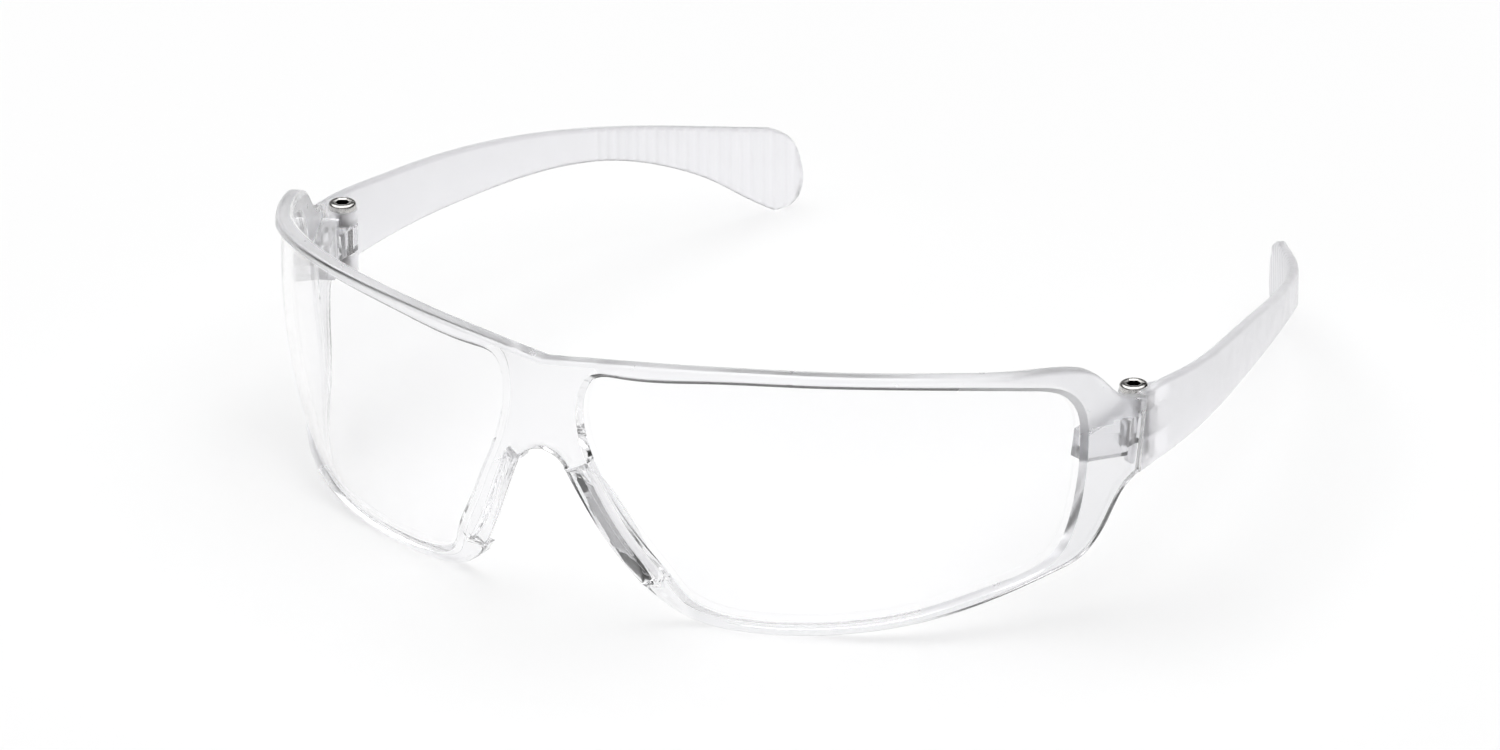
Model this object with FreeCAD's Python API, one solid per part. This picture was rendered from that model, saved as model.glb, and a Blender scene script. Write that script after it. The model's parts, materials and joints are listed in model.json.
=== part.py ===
"""Wrap-around safety glasses: frosted front frame with two clear panes, clear nose pads,
two curved temples with cylindrical knuckle hinges, and two hinge screws.

Millimetres. X = 0 is the plane of symmetry, -Y is the way the wearer looks, +Z is up and
Z = 0 is the table the glasses stand on. "left" is the -X side.
"""
import math
import os

import FreeCAD
import Part
from BOPTools import SplitAPI
from FreeCAD import Vector

os.makedirs("parts", exist_ok=True)

# ---------------------------------------------------------------- driving dimensions
CENTRE_Y = 72.80          # half of the depth, front face to temple tips
DATUM_Z = 22.7            # height of the wrap curve above the table
FRAME_T = 2.6             # thickness of the front frame
LIP_T = 0.9               # lip in front of each pane
PANE_T = 1.6              # optical pane
BEVEL = 0.8               # how far the window bevel narrows over the lip
REBATE = 1.0              # width of the seat behind the lip
PANE_PLAY = 0.05          # play round a pane in its seat
CROWN_Z = DATUM_Z + 15.0  # height where the upright profile is steepest forward
CURVE_MID = 0.0180        # upright curvature on the nose line, 1/mm
CURVE_SIDE = 0.0098       # upright curvature 70 mm round the wrap curve, 1/mm
FLARE = 0.0223            # outward lean of the wings, per mm of height, at 70 mm
LEAN = 0.114              # rearward lean of the top, per mm of height

PAD_T = 2.5               # nose pad wall at its front face
PAD_PLAY = 0.05           # play between a pad and the frame
PAD_DEPTH = 6.4           # nose pad, front face to rear edge
PAD_FLARE = 0.45          # sideways opening of the pads' nose side per mm of depth
PAD_TAPER = 0.20          # the same for the outer side
PAD_Z = (6.6, 24.6)       # bottom and top of the pads

HINGE_X = 66.0            # hinge axes
HINGE_Y = 53.5
KNUCKLE_R = 2.2
KNUCKLE_Z = (23.0, 27.0)  # middle knuckle, on the front
UPPER_EAR_Z = (27.3, 29.5)
LOWER_EAR_Z = (19.3, 22.7)
SWING_GAP = 0.35          # gap between parts that swing past each other
SCREW_R = 1.0
BORE_R = 1.05
HEAD_R = 2.05
HEAD_T = 1.1
HEAD_GAP = 0.25           # free space round the screw head
RECESS_R = 0.75           # across-corners radius of the hexagonal drive
SEAM_S = 94.1             # rear edge of the wings, measured round the wrap curve
BAR_S = (84.2, 92.3)      # front and rear ends of the rib that carries the middle knuckle
BAR_DEPTH = (2.0, 5.2)    # its depth below the outer face

BLADE_T = 1.7             # temple blade
RIB_COUNT = 20
RIB_PITCH = 1.85
RIB_DEPTH = 0.35


# ---------------------------------------------------------------- the curved front
HALF_WRAP = [(19.9, 1.4), (39.0, 7.1), (54.9, 19.1), (64.5, 36.5), (70.0, 50.4), (72.4, 56.5)]


def spline(points, closed=False):
    curve = Part.BSplineCurve()
    curve.interpolate(Points=points, PeriodicFlag=closed)
    return curve


wrap = spline([Vector(-x, y, 0) for x, y in reversed(HALF_WRAP)] + [Vector(0, 0, 0)]
              + [Vector(x, y, 0) for x, y in HALF_WRAP])
WRAP_START = wrap.FirstParameter
HALF_LENGTH = wrap.length() / 2


def skin(s, z, depth=0.0):
    """Point on the front: s mm round the wrap curve, z above the table, depth mm inward."""
    t = wrap.parameterAtDistance(HALF_LENGTH + s, WRAP_START)
    at = wrap.value(t)
    along = Vector(*wrap.tangent(t)[0])
    inward = Vector(-along.y, along.x, 0)
    side = (s / 70.0) ** 2
    curvature = CURVE_MID - (CURVE_MID - CURVE_SIDE) * side
    depth += curvature / 2 * ((z - CROWN_Z) ** 2 - (DATUM_Z - CROWN_Z) ** 2)
    depth -= FLARE * side * (z - DATUM_Z)
    return Vector(at.x + inward.x * depth, at.y + inward.y * depth + LEAN * (z - DATUM_Z) - CENTRE_Y, z)


def ruled(first, second):
    return Part.makeRuledSurface(first, second)


def shell_layer(outer, inner, s_range=(-98.0, 98.0), z_range=(-3.0, 47.0)):
    """Solid between two depths of the curved front."""
    s_steps = 2 * round((s_range[1] - s_range[0]) / 14) + 1
    z_steps = 9
    faces = []
    for depth in (outer, inner):
        rows = []
        for i in range(s_steps):
            s = s_range[0] + (s_range[1] - s_range[0]) * i / (s_steps - 1)
            rows.append([skin(s, z_range[0] + (z_range[1] - z_range[0]) * j / (z_steps - 1), depth)
                         for j in range(z_steps)])
        surface = Part.BSplineSurface()
        surface.interpolate(rows)
        faces.append(surface.toShape())
    sides = [ruled(a, b) for a, b in zip(faces[0].Edges, faces[1].Edges)]
    shell = Part.makeShell(faces + sides)
    shell.sewShape()
    solid = Part.makeSolid(shell)
    if solid.Volume < 0:
        solid.reverse()
    return solid


def wall(points, outer, inner, grow_outer=0.0, grow_inner=0.0, closed=False):
    """Cutting wall square to the front through (s, z) points, optionally tapering sideways."""
    edges = []
    for depth, grow in ((outer, grow_outer), (inner, grow_inner)):
        line = offset_points(points, grow, closed) if grow else points
        edges.append(spline([skin(s, z, depth) for s, z in line], closed).toShape())
    return ruled(*edges)


def offset_points(points, grow, closed=True):
    """Moves each point of an anticlockwise outline outward by grow."""
    moved = []
    count = len(points)
    for i, (s, z) in enumerate(points):
        before = points[(i - 1) % count] if closed or i else points[0]
        after = points[(i + 1) % count] if closed or i < count - 1 else points[-1]
        ds, dz = after[0] - before[0], after[1] - before[1]
        size = math.hypot(ds, dz)
        moved.append((s + dz / size * grow, z - ds / size * grow))
    return moved


def pick(solid, walls, inside):
    """Cuts a solid with walls and keeps the piece that holds the point inside."""
    pieces = SplitAPI.slice(solid, walls, "Split", 0.0).Solids
    for piece in pieces:
        if piece.isInside(inside, 1e-4, True):
            return piece
    raise RuntimeError("no piece holds the point")


def mirrored(shape):
    return shape.mirror(Vector(0, 0, 0), Vector(1, 0, 0))


# outline of the right half, as (distance round the wrap curve, height above the table)
BROW = [(0, 40.8), (10, 42.0), (20, 42.9), (30, 43.5), (40, 43.6), (50, 43.2), (60, 42.2), (70, 40.5),
        (79.0, 38.8), (83.2, 37.2), (86.4, 34.5), (89.6, 31.9), (SEAM_S, 30.5)]
SEAM = [(SEAM_S, 30.5), (SEAM_S, 19.0)]
NOTCH = [(SEAM_S, 19.0), (92.2, 17.7), (90.4, 14.7), (88.6, 10.7), (85.9, 7.8), (82.0, 6.6)]
RIM = [(82.0, 6.6), (75, 5.1), (60, 2.6), (45, 0.8), (30, 0.0), (24, 0.35), (19.0, 2.0), (15.2, 4.7)]
NOSE = [(15.2, 4.7), (12.2, 8.6), (9.5, 12.8), (7.3, 17.0), (5.5, 20.8), (4.2, 23.6), (2.6, 26.1), (0, 27.1)]
WINDOW = [(6.7, 36.0), (7.0, 31.0), (8.4, 26.5), (11.0, 21.2), (13.6, 16.3), (16.4, 12.0), (19.0, 7.9),
          (21.0, 4.9), (25.0, 3.0), (33, 2.4), (45, 3.1), (60, 5.0), (72, 7.0), (78.2, 8.1), (81.2, 10.0),
          (82.6, 14.0), (82.9, 21.0), (82.4, 27.0), (81.3, 31.4), (78.6, 34.7), (72, 37.4), (60, 40.1),
          (50, 41.3), (40, 41.7), (25, 41.2), (12, 40.0), (8.0, 39.2)]


# ---------------------------------------------------------------- front frame
def both_sides(points):
    """A line from the nose line outward, made into one line from left to right."""
    return [(-s, z) for s, z in reversed(points) if s > 0] + points


def front_body():
    layer = shell_layer(0.0, FRAME_T)
    reach = (-1.5, FRAME_T + 1.5)
    walls = [wall(both_sides(BROW), *reach)]
    arch = list(reversed(NOSE))
    walls.append(wall(both_sides(arch), *reach))
    for line in (SEAM, NOTCH, RIM):
        walls.append(wall(line, *reach))
        walls.append(wall([(-s, z) for s, z in line], *reach))
    return pick(layer, walls, skin(0, 34, FRAME_T / 2))


def window_cutters():
    middle = (45, 22)
    bevel = wall(WINDOW, -1.0, LIP_T + 1.0, BEVEL, -BEVEL * (LIP_T + 1.0) / LIP_T, closed=True)
    s_range, z_range = (-2.0, 92.0), (-3.0, 47.0)
    front = pick(shell_layer(-0.6, LIP_T + 0.5, s_range, z_range), [bevel], skin(*middle, LIP_T / 2))
    seat_wall = wall(offset_points(WINDOW, REBATE), LIP_T - 1.0, FRAME_T + 2.0, closed=True)
    seat = pick(shell_layer(LIP_T, FRAME_T + 1.0, s_range, z_range), [seat_wall], skin(*middle, FRAME_T))
    return front, seat


def pane():
    """Clear optical pane that sits in the seat behind the lip."""
    edge = wall(offset_points(WINDOW, REBATE - PANE_PLAY), -0.5, FRAME_T + 2.0, closed=True)
    layer = shell_layer(LIP_T, LIP_T + PANE_T, (-2.0, 92.0), (-3.0, 47.0))
    return pick(layer, [edge], skin(45, 22, LIP_T + PANE_T / 2))


def nose_strip(front, rear, z_low, z_high, play=0.0, open_nose=0.0):
    """Tapering wall along the nose edge, between two depths; play and open_nose make it a cutter."""
    line = [(19.5, 0.5)] + [(s, z) for s, z in NOSE if z < 27]
    reach = (front - 1.0, rear + 1.0)
    walls = []
    for inset, flare in ((-open_nose, PAD_FLARE), (PAD_T + play, PAD_TAPER)):
        moved = offset_points(line, inset, closed=False)
        edges = [spline([skin(s + flare * depth, z, depth) for s, z in moved]).toShape() for depth in reach]
        walls.append(ruled(*edges))
    for z in (z_low - play, z_high + play):
        walls.append(wall([(s, z) for s in (-8, 2, 12, 22, 34)], *reach))
    layer = shell_layer(front, rear, (-6.0, 32.0), (-1.0, 35.0))
    z_mid = (z_low + z_high) / 2
    middle = (front + rear) / 2
    return pick(layer, walls, skin(s_at(NOSE, z_mid) + PAD_T / 2 + PAD_FLARE * middle, z_mid, middle))


def s_at(line, z):
    """s on a line of (s, z) points at a height."""
    for (s0, z0), (s1, z1) in zip(line, line[1:]):
        if min(z0, z1) <= z <= max(z0, z1):
            return s0 + (s1 - s0) * (z - z0) / (z1 - z0)
    raise ValueError("height outside the line")


# ---------------------------------------------------------------- hinge half on the front
AXIS = Vector(HINGE_X, HINGE_Y - CENTRE_Y, 0)


def post(radius, z_range):
    return Part.makeCylinder(radius, z_range[1] - z_range[0], AXIS + Vector(0, 0, z_range[0]))


def prism(points, z_range):
    corners = [Vector(x, y, z_range[0]) for x, y in points]
    return Part.Face(Part.makePolygon(corners + corners[:1])).extrude(Vector(0, 0, z_range[1] - z_range[0]))


def hinge_bar():
    """Rib on the inner face of the wing that carries the middle knuckle."""
    front, rear = BAR_S
    outline = [[(front, 23.1), (front, 27.2)], [(front, 27.2), (rear, 29.3)],
               [(rear, 29.3), (rear, 21.8)], [(rear, 21.8), (front, 23.1)]]
    layer = shell_layer(BAR_DEPTH[0], BAR_DEPTH[1], (78.0, 99.0), (15.0, 35.0))
    walls = [wall(line, BAR_DEPTH[0] - 1.5, BAR_DEPTH[1] + 1.5) for line in outline]
    bar = pick(layer, walls, skin((front + rear) / 2, 25.2, sum(BAR_DEPTH) / 2))
    outer, inner = (skin(rear - 0.8, 25, depth) for depth in BAR_DEPTH)
    link = prism([(outer.x, outer.y), (AXIS.x + 0.9, AXIS.y - 2.0), (AXIS.x, AXIS.y), (AXIS.x - 2.15, AXIS.y - 0.3),
                  (inner.x, inner.y)], KNUCKLE_Z)
    return bar.fuse([link, post(KNUCKLE_R, KNUCKLE_Z)])


def front_frame(pad_cutter):
    bevel, seat = window_cutters()
    bar = hinge_bar()
    frame = front_body().fuse([bar, mirrored(bar)])
    cutters = [bevel, seat, pad_cutter, post(BORE_R, (KNUCKLE_Z[0] - 1, KNUCKLE_Z[1] + 1))]
    return frame.cut(cutters + [mirrored(shape) for shape in cutters])


# ---------------------------------------------------------------- temple, right side
PATH = [(69.3, 50.0), (69.3, 68.0), (66.4, 88.7), (59.7, 115.1), (50.8, 133.2), (45.3, 141.0), (41.0, 147.0)]
TOP_EDGE = [(49.0, 30.6), (54, 30.4), (67, 28.8), (84, 26.9), (105, 23.2), (124, 18.5), (138, 14.8), (141.8, 13.9)]
TIP = [(141.8, 13.9), (144.6, 11.8), (145.9, 8.0), (146.0, 3.2), (144.9, 0.9), (142.4, 0.1)]
LOW_EDGE = [(142.4, 0.1), (138.5, 3.1), (134.4, 6.6), (128.5, 10.3), (118.7, 14.4), (109.3, 16.5), (95, 17.9),
            (77, 18.5), (60, 18.6), (49.0, 18.7)]


def flat_face(runs, place):
    """Face from runs of points, each run a smooth curve, placed in space by place."""
    edges = [spline([place(a, b) for a, b in run]).toShape() for run in runs]
    return Part.Face(Part.Wire(edges))


def blade_plan(outer, inner, z_range):
    """Upright slab that follows the temple path between two distances inside it."""
    first = offset_points(PATH, -outer, closed=False)
    second = offset_points(PATH, -inner, closed=False)
    runs = [first, [first[-1], second[-1]], second[::-1], [second[0], first[0]]]
    face = flat_face(runs, lambda x, y: Vector(x, y - CENTRE_Y, z_range[0]))
    return face.extrude(Vector(0, 0, z_range[1] - z_range[0]))


def side_profile():
    """Temple outline seen from the side, as a block across the whole part."""
    runs = [TOP_EDGE, TIP, LOW_EDGE, [LOW_EDGE[-1], TOP_EDGE[0]]]
    face = flat_face(runs, lambda y, z: Vector(30, y - CENTRE_Y, z))
    return face.extrude(Vector(50, 0, 0))


def grip_grooves():
    """Grooves between the grip ribs on the inner face, square to the temple path."""
    path = spline([Vector(x, y - CENTRE_Y, 0) for x, y in offset_points(PATH, -BLADE_T, closed=False)])
    grooves = []
    total = path.length()
    for i in range(RIB_COUNT):
        t = path.parameterAtDistance(total - 2.4 - i * RIB_PITCH, path.FirstParameter)
        at = path.value(t)
        along = Vector(*path.tangent(t)[0])
        turn = math.degrees(math.atan2(along.y, along.x)) - 90
        box = Part.makeBox(2.0, RIB_PITCH * 0.45, 40, Vector(-2.0 + RIB_DEPTH, 0, -2))
        box.rotate(Vector(0, 0, 0), Vector(0, 0, 1), turn)
        box.translate(at)
        grooves.append(box)
    return grooves


def temple():
    blade = blade_plan(0.0, BLADE_T, (-2, 34)).common(side_profile())
    start = wall([(SEAM_S + SWING_GAP, z) for z in (12, 20, 28, 40)], -6.0, 14.0)
    blade = pick(blade, [start], Vector(68.5, 60 - CENTRE_Y, 24))
    blade = blade.cut(grip_grooves())
    ears = []
    for z_range in (UPPER_EAR_Z, LOWER_EAR_Z):
        web = prism([(AXIS.x, AXIS.y - 0.9), (AXIS.x + 2.6, AXIS.y - 0.9), (AXIS.x + 2.3, AXIS.y + 5.5),
                     (AXIS.x + 1.2, AXIS.y + 4.0), (AXIS.x, AXIS.y + KNUCKLE_R)], z_range)
        ears += [post(KNUCKLE_R, z_range), web]
    pocket = post(KNUCKLE_R + SWING_GAP, (LOWER_EAR_Z[1], UPPER_EAR_Z[0]))
    blade = blade.cut([pocket]).fuse(ears)
    bore = post(BORE_R, (LOWER_EAR_Z[0] - 1, UPPER_EAR_Z[1] + 1))
    head_room = post(HEAD_R + HEAD_GAP, (UPPER_EAR_Z[1], UPPER_EAR_Z[1] + 4))
    return blade.cut([bore, head_room])


# ---------------------------------------------------------------- hinge screw, right side
def hinge_screw():
    seat = UPPER_EAR_Z[1]
    head = post(HEAD_R, (seat, seat + HEAD_T))
    rim = [edge for edge in head.Edges if abs(edge.BoundBox.ZMin - (seat + HEAD_T)) < 1e-6]
    head = head.makeChamfer(0.3, rim)
    shank = post(SCREW_R, (LOWER_EAR_Z[0] + 0.6, seat + 0.2))
    corners = [(AXIS.x + RECESS_R * math.cos(math.radians(60 * i)), AXIS.y + RECESS_R * math.sin(math.radians(60 * i)))
               for i in range(6)]
    drive = prism(corners, (seat + HEAD_T - 0.8, seat + HEAD_T + 1))
    return head.fuse(shank).cut(drive)


# ---------------------------------------------------------------- all the nodes
def build():
    nodes = {}
    pad = nose_strip(0.0, PAD_DEPTH, *PAD_Z)
    pad_cutter = nose_strip(-0.6, FRAME_T + 0.6, *PAD_Z, play=PAD_PLAY, open_nose=2.0)
    nodes["front_frame"] = front_frame(pad_cutter)
    right_side = {"lens": pane(), "nose_pad": pad, "temple": temple(), "hinge_screw": hinge_screw()}
    for name, shape in right_side.items():
        nodes[name + "_right"] = shape
        nodes[name + "_left"] = mirrored(shape)
    return nodes


for node, shape in build().items():
    shape.removeSplitter().Solids[0].exportStep("parts/" + node + ".step")
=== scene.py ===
"""Looks of the wrap-around safety glasses: frosted and polished clear plastic, steel hinge screws.

Every shape is worked out in millimetres, in the frame of the CAD model, and turned into metres when its
mesh is made. X = 0 is the plane of symmetry, -Y is the way the wearer looks, Z = 0 is the table.
"""
import json
import math

import bmesh
import bpy
import numpy as np
from mathutils import Matrix, Vector


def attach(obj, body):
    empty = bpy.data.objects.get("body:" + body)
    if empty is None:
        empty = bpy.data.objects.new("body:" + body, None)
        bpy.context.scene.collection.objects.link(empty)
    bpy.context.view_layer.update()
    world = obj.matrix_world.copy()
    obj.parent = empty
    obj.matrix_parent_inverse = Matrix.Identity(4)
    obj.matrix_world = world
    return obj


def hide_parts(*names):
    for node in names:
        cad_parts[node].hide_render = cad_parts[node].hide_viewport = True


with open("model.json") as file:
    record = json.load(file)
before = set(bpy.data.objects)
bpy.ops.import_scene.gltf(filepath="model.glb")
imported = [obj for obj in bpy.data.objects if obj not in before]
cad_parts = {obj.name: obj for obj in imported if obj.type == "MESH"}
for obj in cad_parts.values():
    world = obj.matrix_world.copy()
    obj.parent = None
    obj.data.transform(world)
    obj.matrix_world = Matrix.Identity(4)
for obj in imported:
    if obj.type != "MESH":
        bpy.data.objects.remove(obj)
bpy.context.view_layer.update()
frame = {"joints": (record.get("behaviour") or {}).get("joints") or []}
MM = 0.001

# ---------------------------------------------------------------- driving dimensions, mm
CENTRE_Y = 72.80          # from the foremost point of the wrap curve to the origin
DATUM_Z = 22.7            # height of the wrap curve above the table
FRAME_T = 2.6             # thickness of the front frame
LIP_T = 0.9               # lip in front of each pane
PANE_T = 1.6
BEVEL = 0.8               # how far the window bevel narrows over the lip
REBATE = 1.0              # width of the seat behind the lip
CROWN_Z = DATUM_Z + 15.0  # height at which the bulge stands furthest forward
CURVE_MID = 0.0180        # upright curvature at the middle, per mm
CURVE_SIDE = 0.0098       # the same at FLARE_S round the wrap curve
FLARE = 0.0223            # how far the sides lean out there, per mm of height
FLARE_S = 70.0
LEAN = 0.114              # how far the front leans back, per mm of height
EDGE_R = 0.6              # rounding of the moulded edges

PAD_T = 2.5
PAD_DEPTH = 5.8           # front face to the rear edge at mid-length
PAD_FLARE = 0.45          # how far the nose side flares outward, per mm of depth
PAD_TAPER = 0.09          # the same for the outer side
PAD_Z = (6.6, 24.6)
PAD_END = 0.1             # share of the depth behind the frame that is left at the ends
PAD_BOW = 0.6             # power of the sine that the rear edge is bowed by

HINGE = [v / MM for v in next(j for j in frame["joints"] if j["name"] == "right_temple_fold")["pos_m"]]
KNUCKLE_R = 2.2
KNUCKLE_Z = (23.0, 27.0)  # of the front, between the two ears of the temple
UPPER_EAR_Z = (27.3, 29.5)
LOWER_EAR_Z = (19.3, 22.7)
SWING_GAP = 0.35          # room round the knuckle and at the seam
SCREW_R = 1.0
BORE_R = 1.05
HEAD_R = 2.05
HEAD_T = 1.1
HEAD_GAP = 0.25
RECESS_R = 1.05           # to the corners of the hexagonal drive
RECESS_DEPTH = 0.8
THREAD_PITCH = 0.4
THREAD_DEPTH = 0.2
SEAM_S = 94.1             # where the front ends and the temple begins, round the wrap curve
BAR_S = (84.2, 92.3)      # ends of the rib inside each wing
BAR_DEPTH = 5.2           # front face to the rib's inner side

BLADE_T = 1.7
RIB_COUNT = 20
RIB_PITCH = 1.85
RIB_DEPTH = 0.22          # of the grip grooves
RIB_START = 2.4           # first groove, from the tip along the blade
ROOT = 14.0               # length over which the blade turns from the slant of the seam to upright
TIP_R = 2.0               # length of the closely spaced sections at the tip

# outline of the right half, as (distance round the wrap curve, height above the table)
HALF_WRAP = [(19.9, 1.4), (39.0, 7.1), (54.9, 19.1), (64.5, 36.5), (70.0, 50.4), (72.4, 56.5)]
BROW = [(0, 40.8), (10, 42.0), (20, 42.9), (30, 43.5), (40, 43.6), (50, 43.2), (60, 42.2), (70, 40.5),
        (79.0, 38.8), (83.2, 37.2), (86.4, 34.5), (89.6, 31.9), (SEAM_S, 30.5)]
SEAM = [(SEAM_S, 30.5), (SEAM_S, 19.0)]
NOTCH = [(SEAM_S, 19.0), (92.2, 17.7), (90.4, 14.7), (88.6, 10.7), (85.9, 7.8), (82.0, 6.6)]
RIM = [(82.0, 6.6), (75, 5.1), (60, 2.6), (45, 0.8), (30, 0.0), (24, 0.35), (19.0, 2.0), (15.2, 4.7)]
NOSE = [(15.2, 4.7), (12.2, 8.6), (9.5, 12.8), (7.3, 17.0), (5.5, 20.8), (4.2, 23.6), (2.6, 26.1), (0, 27.1)]
WINDOW = [(6.7, 36.0), (7.0, 31.0), (8.4, 26.5), (11.0, 21.2), (13.6, 16.3), (16.4, 12.0), (19.0, 7.9),
          (21.0, 4.9), (25.0, 3.0), (33, 2.4), (45, 3.1), (60, 5.0), (72, 7.0), (78.2, 8.1), (81.2, 10.0),
          (82.6, 14.0), (82.9, 21.0), (82.4, 27.0), (81.3, 31.4), (78.6, 34.7), (72, 37.4), (60, 40.1),
          (50, 41.3), (40, 41.7), (25, 41.2), (12, 40.0), (8.0, 39.2)]
WINDOW_CORNERS = [(7.1, 38.2), (81.4, 32.4), (81.0, 9.7), (20.2, 5.9)]

# temple outer face in plan (x, y) and its edges seen from the side (y, z), y from the front
PATH = [(69.3, 50.0), (69.3, 68.0), (66.4, 88.7), (59.7, 115.1), (50.8, 133.2), (45.3, 141.0), (41.0, 147.0)]
TOP_EDGE = [(49.0, 30.6), (54, 30.4), (67, 28.8), (84, 26.9), (105, 23.2), (124, 18.5), (138, 14.8),
            (141.8, 13.9)]
TIP = [(141.8, 13.9), (144.6, 11.8), (145.9, 8.0), (146.0, 3.2), (144.9, 0.9), (142.4, 0.1)]
LOW_EDGE = [(142.4, 0.1), (138.5, 3.1), (134.4, 6.6), (128.5, 10.3), (118.7, 14.4), (109.3, 16.5), (95, 17.9),
            (77, 18.5), (60, 18.6), (49.0, 18.7)]

# ---------------------------------------------------------------- camera
CAMERA_AZIMUTH = 30.03    # degrees round the object from straight in front
CAMERA_ELEVATION = 24.51
CAMERA_ROLL = -0.41
CAMERA_TARGET = (22.31, -52.58, 35.37)
CAMERA_DISTANCE = 1655.0
CAMERA_LENS = 281.1       # for a 36 mm wide sensor

# ---------------------------------------------------------------- light
SKY_LIGHT = 1.76          # irradiance that makes the table just white
LIGHT_SPREAD = 75.0       # degrees across the light as seen from the table
LIGHT_TILT = (-12.0, 14.0)    # degrees towards X and towards Y
# The studio as the plastic sees it: a white backdrop, a dark gap and a bright ceiling. Each pair is where a
# change begins and ends, as the sine of the elevation.
BACKDROP_TOP = (0.10, 0.19)
CEILING = (0.58, 0.68)
CEILING_LIGHT = 0.9
DARK_STUDIO = 0.03
BLACK_FLAG = (0.50, 0.66)     # side end of the backdrop, as the cosine of the angle from the photo's right

# ---------------------------------------------------------------- finishes
FROST, POLISH, BOND, SATIN_SHADED = 0, 1, 2, 3   # of a moulded piece; bonded faces are inside the plastic; the fourth finish is satin and painted darker, as shade
BROW_Z = 33.0             # the brow is frosted above this height
BRIDGE_S = 8.5            # half the width of the polished bridge, on the front and rear faces
NOSE_S = 21.0             # the rim round the nose is polished this far out
SATIN_SHADED_Z = 29.0            # below this the side panels and rims get a satin finish in a darker colour, which is painted shade
ROUND_Z = 28.0            # above this the rounding to the rear face is polished
LIP_S = 60.0              # the lip of the window is frosted beyond this
SHARP = math.radians(38)  # edges that turn by more are shaded as edges


# ---------------------------------------------------------------- curves
def smooth(points, count, closed=False):
    """Points evenly spaced along the smooth curve through the given ones."""
    p = np.array(points, float)
    if closed:
        p = np.vstack([p, p[:1]])
    gaps = np.linalg.norm(np.diff(p, axis=0), axis=1)
    slopes = np.diff(p, axis=0) / gaps[:, None]
    n = len(p)
    matrix, known = np.zeros((n, n)), np.zeros_like(p)
    for i in range(1, n - 1):
        matrix[i, i - 1:i + 2] = gaps[i - 1], 2 * (gaps[i - 1] + gaps[i]), gaps[i]
        known[i] = 6 * (slopes[i] - slopes[i - 1])
    matrix[0, 0] = matrix[-1, -1] = 1
    if closed:
        matrix[0, -1] = -1
        matrix[-1, [0, 1]] = 2 * gaps[0], gaps[0]
        matrix[-1, [-2, -1]] = gaps[-1], 2 * gaps[-1]
        known[-1] = 6 * (slopes[0] - slopes[-1])
    bend = np.linalg.solve(matrix, known)
    dense = [p[:1]]
    for i, h in enumerate(gaps):
        x = np.linspace(0, h, 41)[1:, None]
        dense.append(bend[i] * (h - x) ** 3 / (6 * h) + bend[i + 1] * x ** 3 / (6 * h)
                     + (p[i] / h - bend[i] * h / 6) * (h - x) + (p[i + 1] / h - bend[i + 1] * h / 6) * x)
    return even(np.vstack(dense), count, closed)


def even(line, count, closed=False):
    """Resamples a dense line to count points, evenly by length."""
    run = np.concatenate([[0], np.cumsum(np.linalg.norm(np.diff(line, axis=0), axis=1))])
    at = np.linspace(0, run[-1], count + 1)[:-1] if closed else np.linspace(0, run[-1], count)
    return np.stack([np.interp(at, run, line[:, k]) for k in range(line.shape[1])], 1)


def normals_of(line, closed=False):
    """Unit normals to the right of the direction of travel, lengthened at corners so offsets stay parallel."""
    steps = np.diff(np.vstack([line, line[:1]]) if closed else line, axis=0)
    steps /= np.linalg.norm(steps, axis=1)[:, None]
    before = np.roll(steps, 1, axis=0) if closed else np.vstack([steps[:1], steps])
    after = steps if closed else np.vstack([steps, steps[-1:]])
    mean = before + after
    mean /= np.linalg.norm(mean, axis=1)[:, None]
    mitre = 1 / np.maximum(np.sum(mean * after, axis=1), 0.6)
    return np.stack([mean[:, 1], -mean[:, 0]], 1) * mitre[:, None]


def blend_rows(first, last, shares):
    """Rows of points between two lines of the same length."""
    return [first + (last - first) * share for share in shares]


# ---------------------------------------------------------------- the curved front
WRAP = smooth([(-x, y) for x, y in reversed(HALF_WRAP)] + [(0, 0)] + HALF_WRAP, 4001)
WRAP_S = np.concatenate([[0], np.cumsum(np.linalg.norm(np.diff(WRAP, axis=0), axis=1))])
WRAP_S -= WRAP_S[-1] / 2
WRAP_ALONG = np.gradient(WRAP, WRAP_S, axis=0)


def skin(sz, depth):
    """Points on the front: sz holds (mm round the wrap curve, height), depth is mm inward."""
    s, z = sz[..., 0], sz[..., 1]
    x, y, along_x, along_y = (np.interp(s, WRAP_S, table) for table in (*WRAP.T, *WRAP_ALONG.T))
    side = (s / FLARE_S) ** 2
    curvature = CURVE_MID - (CURVE_MID - CURVE_SIDE) * side
    depth = depth + curvature / 2 * ((z - CROWN_Z) ** 2 - (DATUM_Z - CROWN_Z) ** 2)
    depth = depth - FLARE * side * (z - DATUM_Z)
    return np.stack([x - along_y * depth, y + along_x * depth + LEAN * (z - DATUM_Z) - CENTRE_Y, z], -1)


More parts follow.
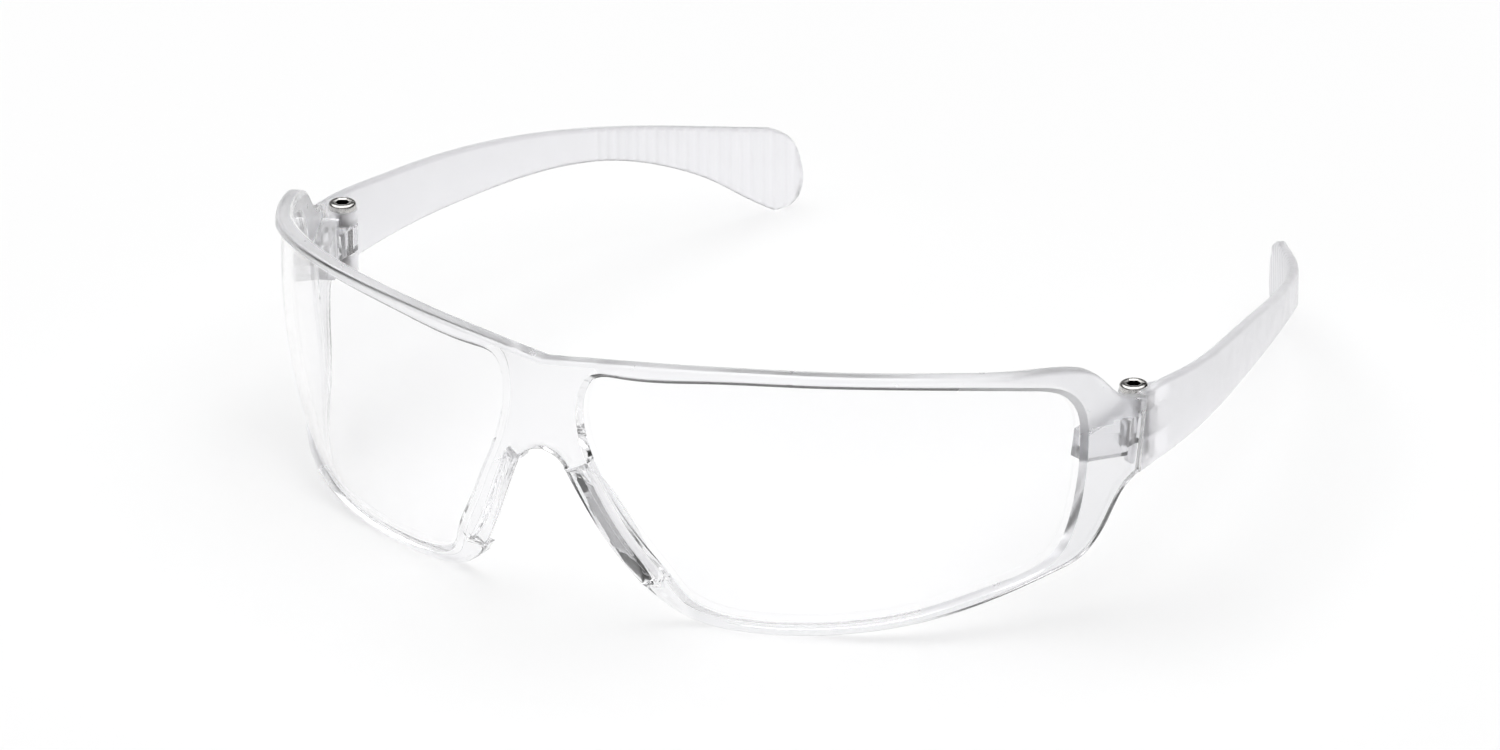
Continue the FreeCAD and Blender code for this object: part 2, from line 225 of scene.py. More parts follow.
# ---------------------------------------------------------------- meshes
class Shell:
    """Points and faces of a piece, in millimetres."""

    def __init__(self):
        self.points, self.faces, self.finishes = [], [], []

    def patch(self, rows, finish=FROST, loop=False):
        """Adds quads over a grid of points. finish is one number, or one for each quad or row of quads."""
        rows = np.asarray(rows, float)
        n_rows, n_cols = rows.shape[:2]
        start = len(self.points)
        self.points.extend(rows.reshape(-1, 3))
        last = n_cols if loop else n_cols - 1
        finish = np.broadcast_to(finish, (n_rows - 1, last))
        for i in range(n_rows - 1):
            for j in range(last):
                a, b, k = start + i * n_cols, start + (i + 1) * n_cols, (j + 1) % n_cols
                self.faces.append((a + j, a + k, b + k, b + j))
                self.finishes.append(int(finish[i, j]))

    def cap(self, ring, finish=FROST):
        start = len(self.points)
        self.points.extend(np.asarray(ring, float))
        self.faces.append(tuple(range(start, start + len(ring))))
        self.finishes.append(finish)

    def make(self, name, finishes, both_halves=False):
        """Turns the shell into an object, with a mirrored second half where the piece crosses the middle."""
        mesh = bpy.data.meshes.new(name)
        mesh.from_pydata([tuple(p * MM) for p in self.points], [], self.faces)
        for finish in finishes:
            mesh.materials.append(finish)
        mesh.polygons.foreach_set("material_index", self.finishes)
        work = bmesh.new()
        work.from_mesh(mesh)
        if both_halves:
            half = work.verts[:] + work.edges[:] + work.faces[:]
            copy = bmesh.ops.duplicate(work, geom=half)["geom"]
            for vert in (v for v in copy if isinstance(v, bmesh.types.BMVert)):
                vert.co.x = -vert.co.x
        bmesh.ops.remove_doubles(work, verts=work.verts, dist=2e-6)
        bmesh.ops.dissolve_degenerate(work, edges=work.edges, dist=1e-7)
        tidy(work, mesh)
        obj = bpy.data.objects.new(name, mesh)
        bpy.context.scene.collection.objects.link(obj)
        return obj


def tidy(work, mesh):
    """Writes a bmesh back with outward normals and smooth shading up to the sharp angle."""
    bmesh.ops.recalc_face_normals(work, faces=work.faces)
    for face in work.faces:
        face.smooth = True
    work.to_mesh(mesh)
    work.free()
    mesh.set_sharp_from_angle(angle=SHARP)


def combine(obj, other, operation):
    """Adds or cuts away another solid, which is used up."""
    modifier = obj.modifiers.new("combine", "BOOLEAN")
    modifier.object, modifier.operation, modifier.solver = other, operation, "EXACT"
    bpy.context.view_layer.update()
    made = bpy.data.meshes.new_from_object(obj.evaluated_get(bpy.context.evaluated_depsgraph_get()))
    obj.modifiers.clear()
    old, obj.data = obj.data, made
    bpy.data.meshes.remove(old)
    bpy.data.objects.remove(other)
    work = bmesh.new()
    work.from_mesh(made)
    bmesh.ops.remove_doubles(work, verts=work.verts, dist=2e-6)
    tidy(work, made)
    return obj


def mirrored_copy(obj, name):
    twin = bpy.data.objects.new(name, obj.data.copy())
    twin.data.transform(Matrix.Diagonal((-1, 1, 1, 1)))
    twin.data.flip_normals()
    bpy.context.scene.collection.objects.link(twin)
    return twin


def show(obj, body, node):
    """Puts a finished piece in the place of its CAD node."""
    shading = obj.modifiers.new("shading", "WEIGHTED_NORMAL")
    shading.keep_sharp = True
    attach(obj, body)
    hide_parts(node)


# ---------------------------------------------------------------- front frame
TOP_COUNT, SIDE_COUNT = 84, 40    # quads along a window's long and short sides
LOOP = 2 * (TOP_COUNT + SIDE_COUNT)
LOOP_LEAD = 5                     # quads from the nose line to the window's top nose corner


def window_loop(grow=0.0):
    """Window outline from its top nose corner, over the top, round to the corner again."""
    dense = smooth(WINDOW[::-1], 3000, closed=True)
    at = [int(np.argmin(np.linalg.norm(dense - corner, axis=1))) for corner in WINDOW_CORNERS]
    dense = np.roll(dense, -at[0], axis=0)
    at = [(i - at[0]) % len(dense) for i in at] + [len(dense)]
    dense = np.vstack([dense, dense[:1]])
    runs = [even(dense[a:b + 1], n + 1)[:-1] for a, b, n in
            zip(at, at[1:], (TOP_COUNT, SIDE_COUNT, TOP_COUNT, SIDE_COUNT))]
    loop = np.vstack(runs)
    return loop - normals_of(loop, closed=True) * grow


def at_height(line, z):
    """The point of a rising line at a height."""
    order = np.argsort(line[:, 1])
    return np.array([np.interp(z, line[order, 1], line[order, 0]), z])


def between(line, low, high):
    return line[(line[:, 1] > low) & (line[:, 1] < high)]


NOSE_LINE = smooth(NOSE, 400)
PAD_LINE = NOSE_LINE + normals_of(NOSE_LINE) * PAD_T


def outer_path():
    """Outer edge of the right half from the top of the nose line round to its bottom.

    Gives the points and, for each step between them, whether it is bonded to the nose pad."""
    foot, head = (at_height(NOSE_LINE, z) for z in PAD_Z)
    inner_foot, inner_head = (at_height(PAD_LINE, z) for z in PAD_Z)
    before = np.vstack([between(NOSE_LINE, -9, PAD_Z[0]), foot])
    flank = np.vstack([inner_foot, between(PAD_LINE, *PAD_Z), inner_head])
    after = np.vstack([head, between(NOSE_LINE, PAD_Z[1], 99)])
    runs = [(smooth(BROW, TOP_COUNT + 8), 0), (smooth(SEAM, 15), 0), (smooth(NOTCH, 26), 0),
            (smooth(RIM, TOP_COUNT + 1), 0), (even(before, 3), 0), (even(np.vstack([foot, inner_foot]), 3), 1),
            (even(flank, 17), 1), (even(np.vstack([inner_head, head]), 3), 1), (even(after, 8), 0)]
    points, bonded = [runs[0][0][:1]], []
    for run, bond in runs:
        points.append(run[1:])
        bonded += [bond] * (len(run) - 1)
    return np.vstack(points), np.array(bonded)


def front_half():
    """Right half of the frame: a ring of sheet plastic between its window and its outer edge."""
    shell = Shell()
    path, bonded = outer_path()
    inward = normals_of(path)
    inward[0], inward[-1] = (0, -1), (0, 1)
    touches = np.concatenate([[0], bonded]) + np.concatenate([bonded, [0]])
    radius = np.where(touches > 0, 0.0, EDGE_R)[:, None]

    # rounded edge, from the front face over the edge to the rear face
    turns = np.radians([0, 22, 45, 68, 90])
    rows = []
    for depth, sign in ((0, 1), (FRAME_T, -1)):
        arc = [skin(path + inward * radius * (1 - math.sin(t)), depth + sign * radius[:, 0] * (1 - math.cos(t)))
               for t in turns]
        rows += arc if sign > 0 else arc[::-1]
    along, height = ((path[1:] + path[:-1]) / 2).T
    textured = (height > BROW_Z) | (along > NOSE_S)
    # textured faces low on the sides take the satin finish, painted darker as shade
    finish = np.where(textured, np.where(height < SATIN_SHADED_Z, SATIN_SHADED, FROST), POLISH)
    edge = np.tile(np.where(bonded, BOND, finish), (len(rows) - 1, 1))
    edge[len(turns):, (bonded == 0) & (height > ROUND_Z)] = POLISH
    shell.patch(rows, edge)

    # ring between the window and the outer edge, closed by the nose line of symmetry
    rim = path + inward * radius
    middle_z = np.linspace(rim[-1, 1], rim[0, 1], LOOP - len(rim) + 2)[1:-1]
    rim = np.vstack([rim, np.column_stack([np.zeros_like(middle_z), middle_z])])
    window = {grow: np.roll(window_loop(grow), LOOP_LEAD, axis=0) for grow in (0.0, BEVEL, REBATE)}
    shares = [0, 0.05, 0.15, 0.3, 0.45, 0.6, 0.75, 0.88, 0.96, 1]
    front = np.array(blend_rows(window[BEVEL], rim, shares))
    rear = np.array(blend_rows(window[REBATE], rim, shares))
    along, height = np.moveaxis((front[1:] + front[:-1]) / 2, -1, 0)
    textured = ((along > BRIDGE_S) & (height > BROW_Z)) | (along > NOSE_S)
    # textured faces low on the sides take the satin finish, painted darker as shade
    finish = np.where(textured, np.where(height < SATIN_SHADED_Z, SATIN_SHADED, FROST), POLISH)
    shell.patch(skin(front, 0.0), finish, loop=True)
    shell.patch(skin(rear, FRAME_T), finish, loop=True)

    # bevelled lip, and the seat that the pane is bonded into
    slope = window[BEVEL] - window[0.0]
    lip = [skin(window[0.0] + slope * share, LIP_T * (1 - share)) for share in (0, 0.08, 1)]
    shell.patch(lip, np.where(window[BEVEL][:, 0] > LIP_S, FROST, POLISH)[None, :], loop=True)
    seat = [skin(window[0.0], LIP_T), skin(window[REBATE], LIP_T), skin(window[REBATE], LIP_T + PANE_T),
            skin(window[REBATE], FRAME_T)]
    shell.patch(seat, np.array([[BOND], [BOND], [POLISH]]), loop=True)
    return shell


def coons(loop, depth):
    """Grid over the area inside a loop that has four sides."""
    a, b = TOP_COUNT, SIDE_COUNT
    top, outer = loop[:a + 1], loop[a:a + b + 1]
    low = loop[a + b:2 * a + b + 1][::-1]
    nose = np.vstack([loop[2 * a + b:], loop[:1]])[::-1]
    u, v = np.linspace(0, 1, a + 1)[None, :, None], np.linspace(0, 1, b + 1)[:, None, None]
    flat = (1 - v) * top[None] + v * low[None] + (1 - u) * nose[:, None] + u * outer[:, None]
    flat -= (1 - u) * (1 - v) * top[0] + u * (1 - v) * top[-1] + (1 - u) * v * low[0] + u * v * low[-1]
    return skin(flat, depth)


def pane():
    shell = Shell()
    window, edge = window_loop(), window_loop(REBATE)
    shell.patch(coons(window, LIP_T), POLISH)
    shell.patch([skin(window, LIP_T), skin(edge, LIP_T), skin(edge, LIP_T + PANE_T)], BOND, loop=True)
    shell.patch(coons(edge, LIP_T + PANE_T), POLISH)
    return shell


# ---------------------------------------------------------------- nose pads
def nose_pad():
    """Flared wall behind the nose edge, thinner towards the rear and bowed, with rounded edges."""
    shell = Shell()
    stretch = np.vstack([at_height(NOSE_LINE, PAD_Z[0]), between(NOSE_LINE, *PAD_Z),
                         at_height(NOSE_LINE, PAD_Z[1])])
    line = even(stretch, 46)
    across = normals_of(line)
    corners = [(0, 0, 0.35), (PAD_T, 0, 0.05), (PAD_T, PAD_DEPTH, 0.35), (0, PAD_DEPTH, 0.35)]
    section = rounded(corners, 4)
    rings = []
    for i, point in enumerate(line):
        bow = PAD_END + (1 - PAD_END) * math.sin(math.pi * i / (len(line) - 1)) ** PAD_BOW
        shape = section.copy()
        shape[:, 1] -= np.clip(shape[:, 1] - FRAME_T, 0, None) * (1 - bow)
        flare = PAD_FLARE + (PAD_TAPER - PAD_FLARE) * shape[:, 0] / PAD_T
        place = point + across[i] * shape[:, :1]
        place[:, 0] += flare * shape[:, 1]
        rings.append(skin(place, shape[:, 1]))
    front = section[:, 1] < FRAME_T
    flank = section[:, 0] > PAD_T - 1e-3
    inside = np.where(flank & np.roll(flank, -1) & front & np.roll(front, -1), BOND, POLISH)
    shell.patch(rings, inside[None, :], loop=True)
    for ring in (rings[0], rings[-1]):
        shell.cap(ring, POLISH)
    return shell


def rounded(corners, steps):
    """Closed outline with each corner (x, y, radius) turned into an arc, and points along long sides."""
    points = []
    count = len(corners)
    for i in range(count):
        here, prev, nxt = (np.array(corners[k % count][:2], float) for k in (i, i - 1, i + 1))
        radius = corners[i][2]
        to_prev, to_next = (prev - here), (nxt - here)
        to_prev /= np.linalg.norm(to_prev)
        to_next /= np.linalg.norm(to_next)
        half = math.acos(float(np.clip(to_prev @ to_next, -1, 1))) / 2
        reach = radius / math.tan(half)
        a, b = here + to_prev * reach, here + to_next * reach
        for t in np.linspace(0, 1, steps + 1):
            points.append((1 - t) ** 2 * a + 2 * t * (1 - t) * here + t ** 2 * b)
        side = np.linalg.norm(nxt - here)
        extra = int(side // 1.2)
        following = corners[(i + 1) % count][2]
        for t in np.linspace(0, 1, extra + 2)[1:-1]:
            along = reach + (side - reach - following) * t
            points.append(here + to_next * along)
    return np.array(points)


# ---------------------------------------------------------------- hinges
ROUND_COUNT = 64


def ring(radii, z):
    """Level ring about the hinge axis, with one radius for each of its points."""
    turns = np.linspace(0, 2 * math.pi, len(radii), endpoint=False)
    x, y = HINGE[0] + radii * np.cos(turns), HINGE[1] + radii * np.sin(turns)
    return np.stack([x, y, np.full(len(radii), z)], 1)


def cylinder(radius, z_range, chamfer=0.12):
    """Upright post on the hinge axis, with its rims rounded."""
    low, high = z_range
    cut = chamfer * 0.3
    profile = [(radius - chamfer, low), (radius - cut, low + cut), (radius, low + chamfer),
               (radius, high - chamfer), (radius - cut, high - cut), (radius - chamfer, high)]
    shell = Shell()
    rings = [ring(np.full(ROUND_COUNT, r), z) for r, z in profile]
    shell.patch(rings, FROST, loop=True)
    shell.cap(rings[0])
    shell.cap(rings[-1])
    return shell


def block(plan, z_range):
    """Upright block with a polygonal plan."""
    shell = Shell()
    plan = np.array(plan, float)
    rings = [np.column_stack([plan, np.full(len(plan), z)]) for z in z_range]
    shell.patch(rings, FROST, loop=True)
    shell.cap(rings[0])
    shell.cap(rings[1])
    return shell


def hinge_bar():
    """Rib on the inner face of the wing that carries the middle knuckle."""
    shell = Shell()
    front, rear = BAR_S
    rings = []
    for s, low, high in ((front, 23.1, 27.2), (front + 2.7, 22.7, 27.8), (front + 5.4, 22.25, 28.5),
                         (rear, 21.8, 29.3)):
        corners = np.array([(s, low), (s, (low + high) / 2), (s, high)])
        outer, inner = skin(corners, FRAME_T - 0.05), skin(corners, BAR_DEPTH)
        rings.append(np.vstack([outer, inner[::-1]]))
    shell.patch(rings, FROST, loop=True)
    shell.cap(rings[0])
    shell.cap(rings[-1])
    return shell


def front_hinge():
    """The right-hand rib, link and knuckle of the front, as one solid."""
    rear = BAR_S[1]
    outer, inner = (skin(np.array([rear - 0.8, 25.0]), depth) for depth in (FRAME_T, BAR_DEPTH))
    x, y = HINGE[:2]
    link = block([outer[:2], (x + 0.9, y - 2.0), (x, y), (x - 2.15, y - 0.3), inner[:2]], KNUCKLE_Z)
    plastic = [satin_shaded_plastic]
    hinge = hinge_bar().make("front_hinge", plastic)
    combine(hinge, link.make("link", plastic), "UNION")
    combine(hinge, cylinder(KNUCKLE_R, KNUCKLE_Z).make("knuckle", plastic), "UNION")
    bore = (KNUCKLE_Z[0] - 1, KNUCKLE_Z[1] + 1)
    return combine(hinge, cylinder(BORE_R, bore).make("bore", plastic), "DIFFERENCE")


# ---------------------------------------------------------------- temples
SEAM_AT = [float(np.interp(SEAM_S + SWING_GAP, WRAP_S, table)) for table in (*WRAP.T, *WRAP_ALONG.T)]
SEAM_SKEW = SEAM_AT[2] / SEAM_AT[3]       # how much further back the seam is, per mm inward
SEAM_Y = SEAM_AT[1] + SEAM_SKEW * (SEAM_AT[0] - PATH[0][0])


def temple_edges():
    """Top and low edge of a temple as tables of height against y."""
    tip = smooth(TIP, 400)
    end = int(np.argmax(tip[:, 0]))
    top = np.vstack([smooth(TOP_EDGE, 800), tip[1:end + 1]])
    low = np.vstack([smooth(LOW_EDGE[::-1], 800), tip[end:][::-1][1:]])
    return top, low


def grip_groove(run, total):
    """How deep the grip is cut at a distance along the blade, from 0 to 1."""
    first, last = total - RIB_START, total - RIB_START - (RIB_COUNT - 1) * RIB_PITCH
    inside = (run < first + RIB_PITCH / 2) & (run > last - RIB_PITCH / 2)
    wave = 0.5 + 0.5 * np.cos(2 * math.pi * (run - first) / RIB_PITCH)
    return np.where(inside, wave ** 2, 0.0)


def blade():
    """Temple blade: a flat rounded section carried along the curved path."""
    shell = Shell()
    line = smooth(PATH, 4001)
    run = np.concatenate([[0], np.cumsum(np.linalg.norm(np.diff(line, axis=0), axis=1))])
    top, low = temple_edges()
    begin = float(np.interp(SEAM_Y, line[:, 1], run))
    end = float(np.interp(top[-1, 0], line[:, 1], run))
    total = run[-1]
    grip = total - RIB_START - RIB_COUNT * RIB_PITCH
    stations = np.concatenate([begin + np.linspace(0, ROOT, 18), np.arange(begin + ROOT + 1, grip, 1.1),
                               np.arange(grip, end - TIP_R, RIB_PITCH / 9),
                               end - TIP_R * (1 - np.sin(np.linspace(0, math.pi / 2, 12)))[:-1]])
    tangents = np.gradient(line, run, axis=0)
    rings = []
    for at in stations:
        x, y = (np.interp(at, run, line[:, k]) for k in (0, 1))
        along = np.array([np.interp(at, run, tangents[:, k]) for k in (0, 1)])
        inward = np.array([-along[1], along[0]])
        z_low, z_top = np.interp(y, low[:, 0], low[:, 1]), np.interp(y, top[:, 0], top[:, 1])
        height = z_top - z_low
        section = slab_section(height, float(grip_groove(at, total)))
        fade = max(0.0, 1 - (at - begin) / ROOT)
        shift = (SEAM_SKEW * section[:, 0] + LEAN * (z_low + section[:, 1] - DATUM_Z)) * fade
        plan = np.array([x, y - CENTRE_Y]) + inward * section[:, :1] + along * shift[:, None]
        rings.append(np.column_stack([plan, z_low + section[:, 1]]))
    shell.patch(rings, FROST, loop=True)
    shell.cap(rings[0], POLISH)
    shell.cap(rings[-1], POLISH)
    return shell


FACE_STEPS, ARC_STEPS = 10, 4


def slab_section(height, groove):
    """Rounded rectangle as (distance in from the outer face, height), the inner face cut by a groove."""
    radius = min(EDGE_R, 0.45 * height)
    points = []
    for x, z, turn in ((0, 0, 180), (BLADE_T, 0, 270), (BLADE_T, height, 0), (0, height, 90)):
        cx = radius if x == 0 else BLADE_T - radius
        cz = radius if z == 0 else height - radius
        arc = np.radians(turn + np.linspace(0, 90, ARC_STEPS + 1))
        points += [(cx + radius * math.cos(t), cz + radius * math.sin(t)) for t in arc]
        rise = [(height - 2 * radius) * k / FACE_STEPS for k in range(1, FACE_STEPS)]
        if (x, z) == (BLADE_T, 0):
            points += [(BLADE_T, radius + up) for up in rise]
        if (x, z) == (0, height):
            points += [(0, height - radius - up) for up in rise]
    section = np.array(points)
    inner = section[:, 0] > BLADE_T / 2
    cut = RIB_DEPTH * groove * np.clip((section[:, 0] - BLADE_T / 2) / (BLADE_T / 2), 0, 1)
    section[:, 0] -= np.where(inner, cut, 0.0)
    return section


def temple():
    """Right temple with its two hinge ears."""
    plastic = [frosted_arm, polished]
    x, y = HINGE[:2]
    arm = blade().make("temple_right_arm", plastic)
    pocket = (LOWER_EAR_Z[1], UPPER_EAR_Z[0])
    combine(arm, cylinder(KNUCKLE_R + SWING_GAP, pocket).make("pocket", plastic), "DIFFERENCE")
    for z_range in (UPPER_EAR_Z, LOWER_EAR_Z):
        web = block([(x, y - 0.9), (x + 2.6, y - 0.9), (x + 2.3, y + 5.5), (x + 1.2, y + 4.0),
                     (x, y + KNUCKLE_R)], z_range)
        ear = combine(web.make("ear", plastic), cylinder(KNUCKLE_R, z_range).make("post", plastic), "UNION")
        combine(arm, ear, "UNION")
    bore = cylinder(BORE_R, (LOWER_EAR_Z[0] - 1, UPPER_EAR_Z[1] + 1)).make("bore", plastic)
    combine(arm, bore, "DIFFERENCE")
    head_room = cylinder(HEAD_R + HEAD_GAP, (UPPER_EAR_Z[1], UPPER_EAR_Z[1] + 4), 0.02)
    return combine(arm, head_room.make("head_room", plastic), "DIFFERENCE")


# ---------------------------------------------------------------- hinge screws
def screw():
    """Screw with a rolled thread, a chamfered head and a hexagonal drive."""
    turns = np.linspace(0, 2 * math.pi, 96, endpoint=False)
    seat = UPPER_EAR_Z[1]
    foot = LOWER_EAR_Z[0] + 0.6
    hexagon = RECESS_R * math.cos(math.pi / 6) / np.cos((turns + math.pi / 6) % (math.pi / 3) - math.pi / 6)

    def level(radius, z):
        return ring(np.broadcast_to(radius, turns.shape), z)

    rings = [level(SCREW_R - 0.35, foot)]
    for z in np.arange(foot + 0.1, seat - 1.9, THREAD_PITCH / 8):
        phase = (z / THREAD_PITCH - turns / (2 * math.pi)) % 1
        crest = 1 - np.abs(2 * phase - 1)
        fade = min(1.0, (z - foot) / 0.5)
        rings.append(level(SCREW_R - THREAD_DEPTH * (1 - crest) - 0.25 * (1 - fade), z))
    top = seat + HEAD_T
    rings += [level(radius, z) for radius, z in (
        (SCREW_R, seat - 1.8), (SCREW_R, seat - 0.05), (SCREW_R + 0.08, seat),
        (HEAD_R - 0.10, seat), (HEAD_R, seat + 0.10), (HEAD_R, top - 0.32), (HEAD_R - 0.08, top - 0.16),
        (HEAD_R - 0.26, top - 0.03), (HEAD_R - 0.45, top),
        (hexagon + 0.16, top), (hexagon + 0.02, top - 0.10), (hexagon, top - 0.2),
        (hexagon, top - RECESS_DEPTH), (hexagon * 0.3, top - RECESS_DEPTH - 0.12))]
    shell = Shell()
    bright, drive_shade, drive = 0, 1, 3      # finishes, and how many of the last steps are inside the drive; the steps inside the drive get near-black steel, which is painted shade in the recess
    shell.patch(rings, np.array([[bright]] * (len(rings) - 1 - drive) + [[drive_shade]] * drive), loop=True)
    shell.cap(rings[0], bright)
    shell.cap(rings[-1], drive_shade)
    return shell


# ---------------------------------------------------------------- materials
def new_material(name):
    material = bpy.data.materials.new(name)
    material.use_nodes = True
    tree = material.node_tree
    tree.nodes.clear()
    return material, tree


def node(tree, kind, inputs=(), **settings):
    made = tree.nodes.new("ShaderNode" + kind)
    for key, value in settings.items():
        setattr(made, key, value)
    for key, value in dict(inputs).items():
        if isinstance(value, bpy.types.NodeSocket):
            tree.links.new(value, made.inputs[key])
        else:
            made.inputs[key].default_value = value
    return made


def noise(tree, scale, detail):
    place = node(tree, "TexCoord").outputs["Object"]
    return node(tree, "TexNoise", {"Vector": place, "Scale": scale, "Detail": detail}).outputs["Fac"]


def spread(tree, value, low, high):
    """Turns a noise pattern, which stays mostly between 0.3 and 0.7, into a range."""
    return node(tree, "MapRange", {"Value": value, "From Min": 0.3, "From Max": 0.7, "To Min": low,
                                   "To Max": high}).outputs["Result"]


def plastic(name, colour, rough, grain_scale, grain_depth, ripple, shade):
    """Clear polycarbonate.

    rough is the range of its roughness, grain the fine relief left by the mould, ripple the depth of its
    slow waves in metres, and shade what one face lets through of the light that makes shadows."""
    material, tree = new_material(name)
    fine = noise(tree, grain_scale, 2.0)
    flow = noise(tree, 90.0, 1.0)
    relief = node(tree, "Bump", {"Strength": 0.35, "Distance": ripple, "Height": flow}).outputs["Normal"]
    relief = node(tree, "Bump", {"Strength": 1.0, "Distance": grain_depth, "Height": fine,
                                 "Normal": relief}).outputs["Normal"]
    blotch = noise(tree, 400.0, 3.0)
    surface = node(tree, "BsdfPrincipled", {
        "Base Color": (*colour, 1.0), "Roughness": spread(tree, blotch, *rough), "IOR": 1.585,
        "Transmission Weight": 1.0, "Normal": relief})
    lamp = node(tree, "BsdfTransparent", {"Color": (shade, shade, shade, 1.0)})
    mix = node(tree, "MixShader", {0: node(tree, "LightPath").outputs["Is Shadow Ray"],
                                   1: surface.outputs[0], 2: lamp.outputs[0]})
    out = node(tree, "OutputMaterial", {"Surface": mix.outputs[0]})
    tree.nodes.active = out
    return material


def bonded_face(name):
    """Where two pieces are moulded to each other there is plastic on both sides, and nothing to see."""
    material, tree = new_material(name)
    clear = node(tree, "BsdfTransparent", {"Color": (1.0, 1.0, 1.0, 1.0)})
    node(tree, "OutputMaterial", {"Surface": clear.outputs[0]})
    return material


def steel(name, dark, light, rough):
    material, tree = new_material(name)
    fine = noise(tree, 9000.0, 2.0)
    cloud = noise(tree, 1500.0, 3.0)
    colour = node(tree, "Mix", {"Factor": cloud}, data_type="RGBA")
    colour.inputs[6].default_value = (*dark, 1.0)
    colour.inputs[7].default_value = (*light, 1.0)
    relief = node(tree, "Bump", {"Strength": 0.4, "Distance": 0.00001, "Height": fine}).outputs["Normal"]
    surface = node(tree, "BsdfPrincipled", {
        "Base Color": colour.outputs[2], "Metallic": 1.0, "Roughness": spread(tree, cloud, *rough),
        "Normal": relief})
    node(tree, "OutputMaterial", {"Surface": surface.outputs[0]})
    return material


FROST_GRAIN, POLISH_GRAIN, OPTICAL_GRAIN = 5200.0, 2500.0, 1500.0    # grains per metre
# the frosted front's grey is painted shade, the darkening that scattered light from the dark studio gives, laid
# into its colour; the arm's copy of the same plastic is painted lighter
frosted = plastic("frosted_polycarbonate", (0.875, 0.875, 0.895), (0.27, 0.36),
                  FROST_GRAIN, 0.00003, 0.00008, 0.89)
frosted_arm = plastic("frosted_arm", (0.925, 0.922, 0.945), (0.30, 0.42),
                      FROST_GRAIN, 0.00003, 0.00008, 0.89)
polished = plastic("polished_polycarbonate", (0.915, 0.915, 0.925), (0.015, 0.04),
                   POLISH_GRAIN, 0.000001, 0.00001, 0.94)
# satin plastic for the lower side panels, rims and hinge parts: a smoother finish, and a darker colour that is
# painted shade
satin_shaded_plastic = plastic("satin_shaded_polycarbonate", (0.86, 0.86, 0.875), (0.08, 0.13),
                      POLISH_GRAIN, 0.000001, 0.00001, 0.85)
optical = plastic("optical_polycarbonate", (0.972, 0.972, 0.977), (0.0, 0.01),
                  OPTICAL_GRAIN, 0.0000003, 0.000006, 0.988)
bonded = bonded_face("bonded_face")
bright_steel = steel("bright_steel", (0.50, 0.49, 0.48), (0.66, 0.65, 0.63), (0.16, 0.30))
# near-black steel for the inside of the hexagonal drive: painted shade in the recess
painted_shade_steel = steel("painted_shade_steel", (0.02, 0.02, 0.02), (0.05, 0.05, 0.05), (0.30, 0.45))

# ---------------------------------------------------------------- the pieces
front = front_half().make("front_frame_moulding", [frosted, polished, bonded, satin_shaded_plastic], both_halves=True)
hinge_right = front_hinge()
hinge_left = mirrored_copy(hinge_right, "hinge_left")
parts = [front, hinge_right, hinge_left]
with bpy.context.temp_override(active_object=front, object=front, selected_objects=parts,
                               selected_editable_objects=parts):
    bpy.ops.object.join()
show(front, "front", "front_frame")

SIDE_PIECES = [("lens", "front", pane().make("lens_right_pane", [optical, optical, bonded]), "clear_pane"),
               ("nose_pad", "front", nose_pad().make("nose_pad_right_wall", [polished, polished, bonded]),
                "nose_pad"),
               ("temple", "temple", temple(), "temple"),
               ("hinge_screw", "temple", screw().make("hinge_screw_right_steel", [bright_steel, painted_shade_steel]),
                "screw")]
for node_name, body, piece, slot in SIDE_PIECES:
    twin = mirrored_copy(piece, piece.name.replace("right", "left"))
    for side, obj in (("right", piece), ("left", twin)):
        show(obj, body if body == "front" else body + "_" + side, node_name + "_" + side)

# ---------------------------------------------------------------- table, light and camera
def add_object(name, data, matrix=Matrix.Identity(4)):
    obj = bpy.data.objects.new(name, data)
    obj.matrix_world = matrix
    bpy.context.scene.collection.objects.link(obj)
    return obj


def table_top():
    material, tree = new_material("white_table")
    tone = noise(tree, 6.0, 2.0)
    colour = node(tree, "Mix", {"Factor": tone}, data_type="RGBA")
    colour.inputs[6].default_value = (0.895, 0.895, 0.895, 1.0)
    colour.inputs[7].default_value = (0.905, 0.905, 0.905, 1.0)
    surface = node(tree, "BsdfDiffuse", {"Color": colour.outputs[2]})
    node(tree, "OutputMaterial", {"Surface": surface.outputs[0]})
    mesh = bpy.data.meshes.new("table")
    mesh.from_pydata([(-30, -30, 0), (30, -30, 0), (30, 30, 0), (-30, 30, 0)], [], [(0, 1, 2, 3)])
    mesh.materials.append(material)
    add_object("table", mesh)


def overhead_light():
    """One very large soft light, high up and a little behind the object."""
    lamp = bpy.data.lights.new("overhead", "SUN")
    lamp.energy = SKY_LIGHT
    lamp.angle = math.radians(LIGHT_SPREAD)
    towards = Vector((math.sin(math.radians(LIGHT_TILT[0])), math.sin(math.radians(LIGHT_TILT[1])), 1))
    add_object("overhead", lamp, towards.to_track_quat("Z", "Y").to_matrix().to_4x4())


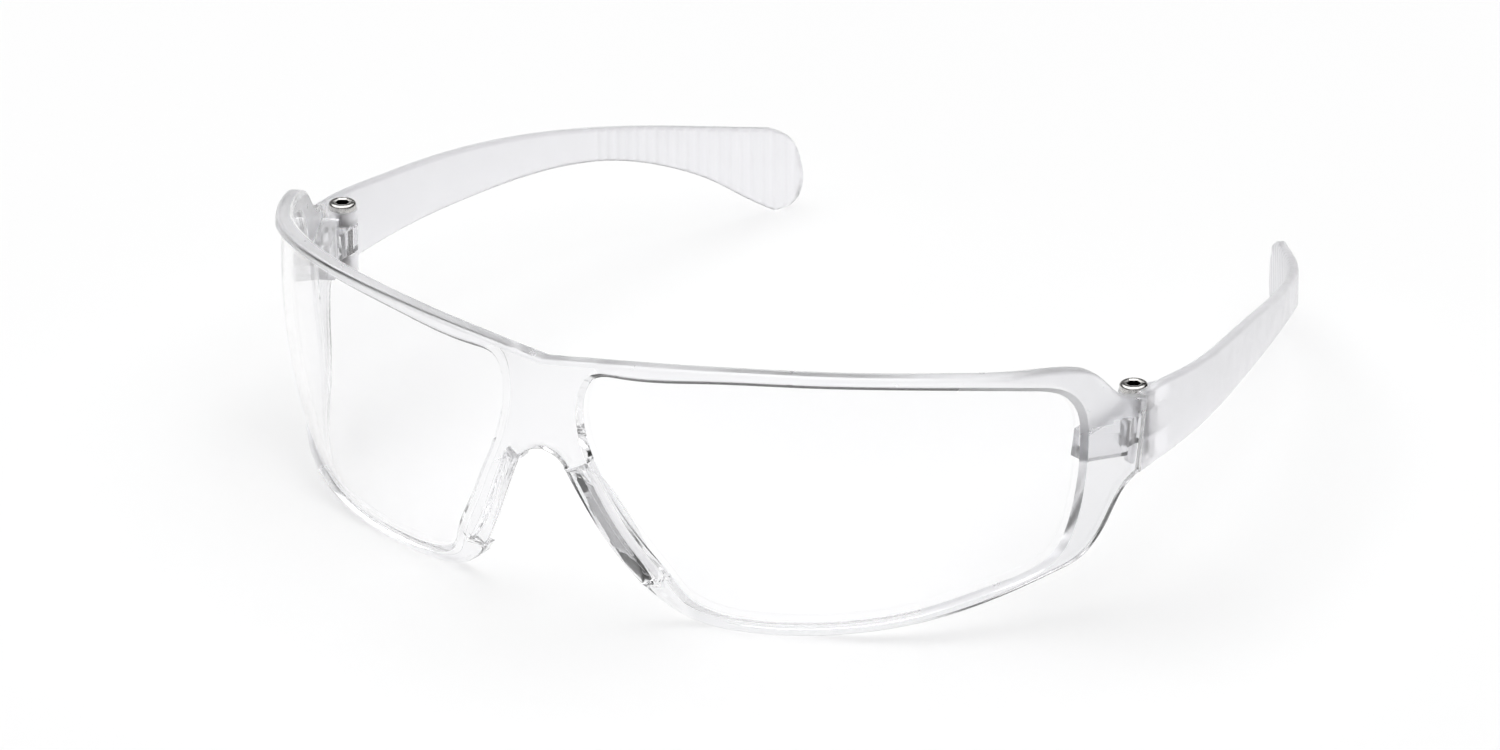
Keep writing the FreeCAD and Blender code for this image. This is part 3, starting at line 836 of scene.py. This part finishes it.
def studio_world():
    """White to the eye; what the plastic mirrors and bends is a backdrop, a dark gap and a bright ceiling."""
    world = bpy.data.worlds.new("studio")
    bpy.context.scene.world = world
    world.use_nodes = True
    tree = world.node_tree
    tree.nodes.clear()
    direction = node(tree, "TexCoord").outputs["Generated"]
    height = node(tree, "SeparateXYZ", {0: direction}).outputs["Z"]
    turn = math.radians(CAMERA_AZIMUTH)
    side = node(tree, "VectorMath", {0: direction, 1: (math.cos(turn), math.sin(turn), 0)},
                operation="DOT_PRODUCT").outputs["Value"]

    def fade(value, limits, first, last):
        return node(tree, "MapRange", {"Value": value, "From Min": limits[0], "From Max": limits[1],
                                       "To Min": first, "To Max": last}).outputs["Result"]

    backdrop = node(tree, "Math", {0: fade(height, BACKDROP_TOP, 1.0, DARK_STUDIO),
                                   1: fade(side, BLACK_FLAG, 1.0, DARK_STUDIO)},
                    operation="MULTIPLY").outputs[0]
    level = node(tree, "Math", {0: backdrop, 1: fade(height, CEILING, 0.0, CEILING_LIGHT)},
                 operation="MAXIMUM").outputs[0]
    seen = node(tree, "LightPath").outputs["Is Camera Ray"]
    level = node(tree, "Mix", {0: seen, 2: level, 3: 1.0}).outputs[0]
    back = node(tree, "Background", {"Color": level, "Strength": 1.0})
    node(tree, "OutputWorld", {"Surface": back.outputs[0]})


def camera():
    data = bpy.data.cameras.new("camera")
    data.sensor_width = 36.0
    data.lens = CAMERA_LENS
    data.clip_start, data.clip_end = 0.05, 200.0
    a, e, r = (math.radians(v) for v in (CAMERA_AZIMUTH, CAMERA_ELEVATION, CAMERA_ROLL))
    back = Vector((math.sin(a) * math.cos(e), -math.cos(a) * math.cos(e), math.sin(e)))
    right = Vector((math.cos(a), math.sin(a), 0))
    up = back.cross(right)
    turned_right = right * math.cos(r) + up * math.sin(r)
    turned_up = up * math.cos(r) - right * math.sin(r)
    matrix = Matrix((turned_right, turned_up, back)).transposed().to_4x4()
    matrix.translation = (Vector(CAMERA_TARGET) + back * CAMERA_DISTANCE) * MM
    bpy.context.scene.camera = add_object("camera", data, matrix)


table_top()
overhead_light()
studio_world()
camera()
scene = bpy.context.scene
scene.view_settings.view_transform = "Standard"
scene.cycles.max_bounces = 64
scene.cycles.glossy_bounces = 26      # light runs far along the inside of the plastic
scene.cycles.transmission_bounces = 64
scene.cycles.transparent_max_bounces = 64
